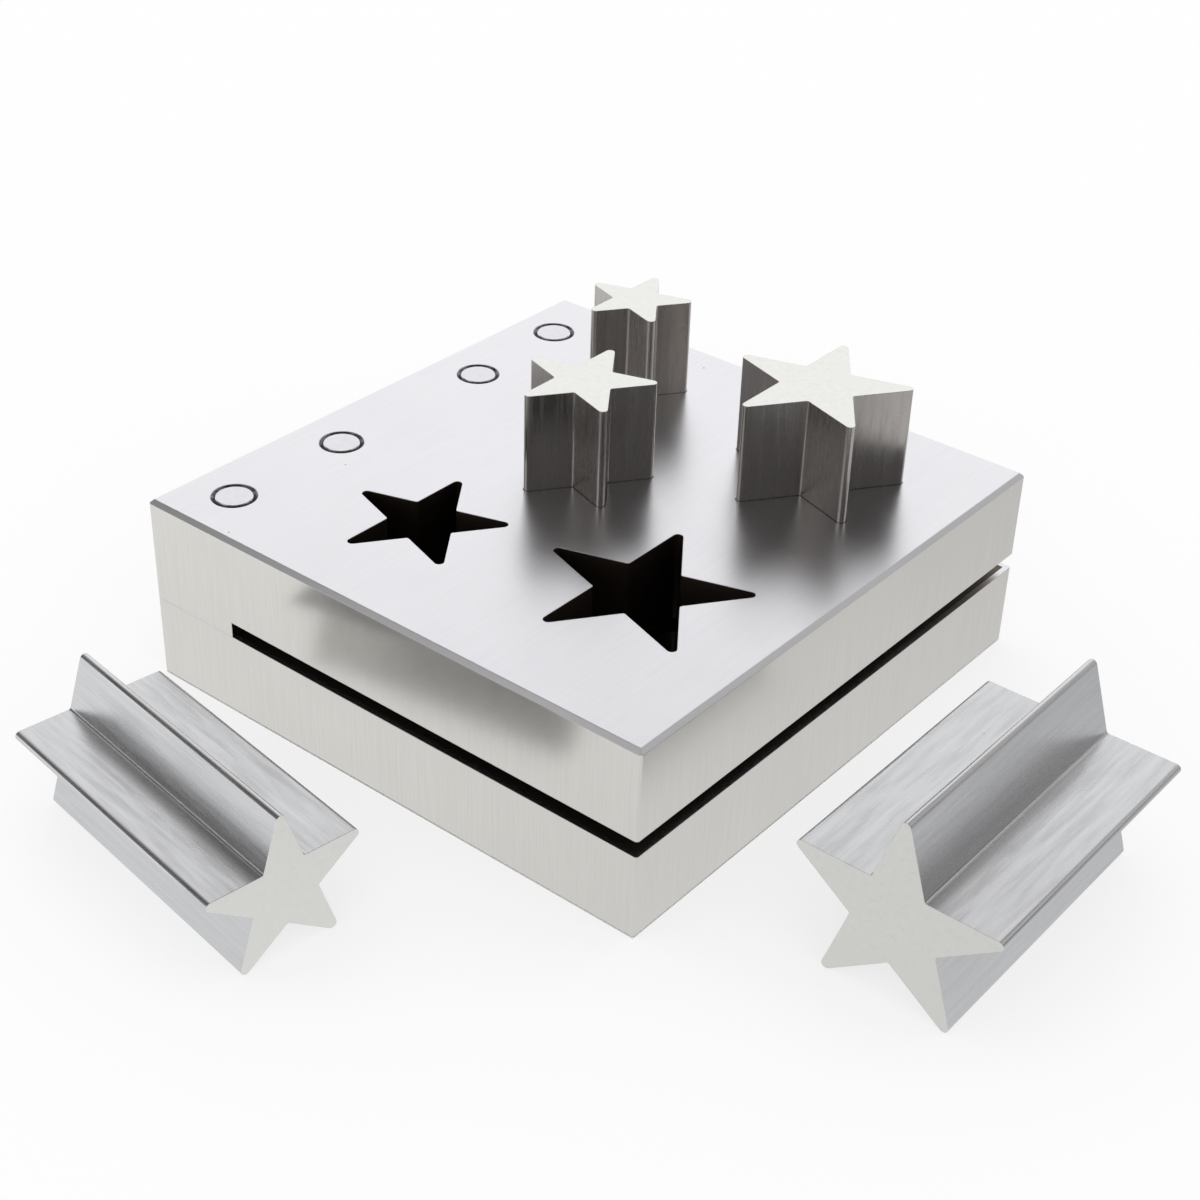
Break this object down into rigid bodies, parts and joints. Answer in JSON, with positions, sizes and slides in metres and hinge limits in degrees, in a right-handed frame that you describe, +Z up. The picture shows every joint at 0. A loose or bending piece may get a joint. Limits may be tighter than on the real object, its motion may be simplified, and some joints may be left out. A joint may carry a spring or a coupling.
{
  "type": "star disc cutter",
  "caption": "Steel block of two plates with a thin throat for sheet metal, star holes down through both, and star punches standing in the holes and lying beside the block.",
  "frame": {"origin": "centre of the block's underside, on the bench", "axes": "+Z up out of the bench, -Y towards the open front of the throat, +X along the block's front to the right"},
  "size_m": [0.1452, 0.147, 0.0493],
  "materials": {
    "ground_plate_steel": "ground",
    "fastener_steel": "ground flush",
    "punch_steel": "wire cut flanks, ground ends"
  },
  "bodies": {
    "block": {"guide_plate": "ground_plate_steel", "die_plate": "ground_plate_steel", "locating_dowels": "fastener_steel", "clamping_screws": "fastener_steel"},
    "smallest_star": {"smallest_punch": "punch_steel"},
    "small_star": {"small_punch": "punch_steel"},
    "large_star": {"large_punch": "punch_steel"},
    "medium_star_loose": {"medium_punch": "punch_steel"},
    "largest_star_loose": {"largest_punch": "punch_steel"}
  },
  "joints": [
    {"name": "smallest_punch_slide", "type": "slide", "parent": "block", "child": "smallest_star", "axis": [0, 0, 1], "range_m": [0, 0.036]},
    {"name": "small_punch_slide", "type": "slide", "parent": "block", "child": "small_star", "axis": [0, 0, 1], "range_m": [0, 0.036]},
    {"name": "large_punch_slide", "type": "slide", "parent": "block", "child": "large_star", "axis": [0, 0, 1], "range_m": [0, 0.036]},
    {"name": "medium_punch_lift", "type": "slide", "parent": "block", "child": "medium_star_loose", "axis": [0, 0, 1], "range_m": [0, 0.06]},
    {"name": "largest_punch_lift", "type": "slide", "parent": "block", "child": "largest_star_loose", "axis": [0, 0, 1], "range_m": [0, 0.06]}
  ]
}
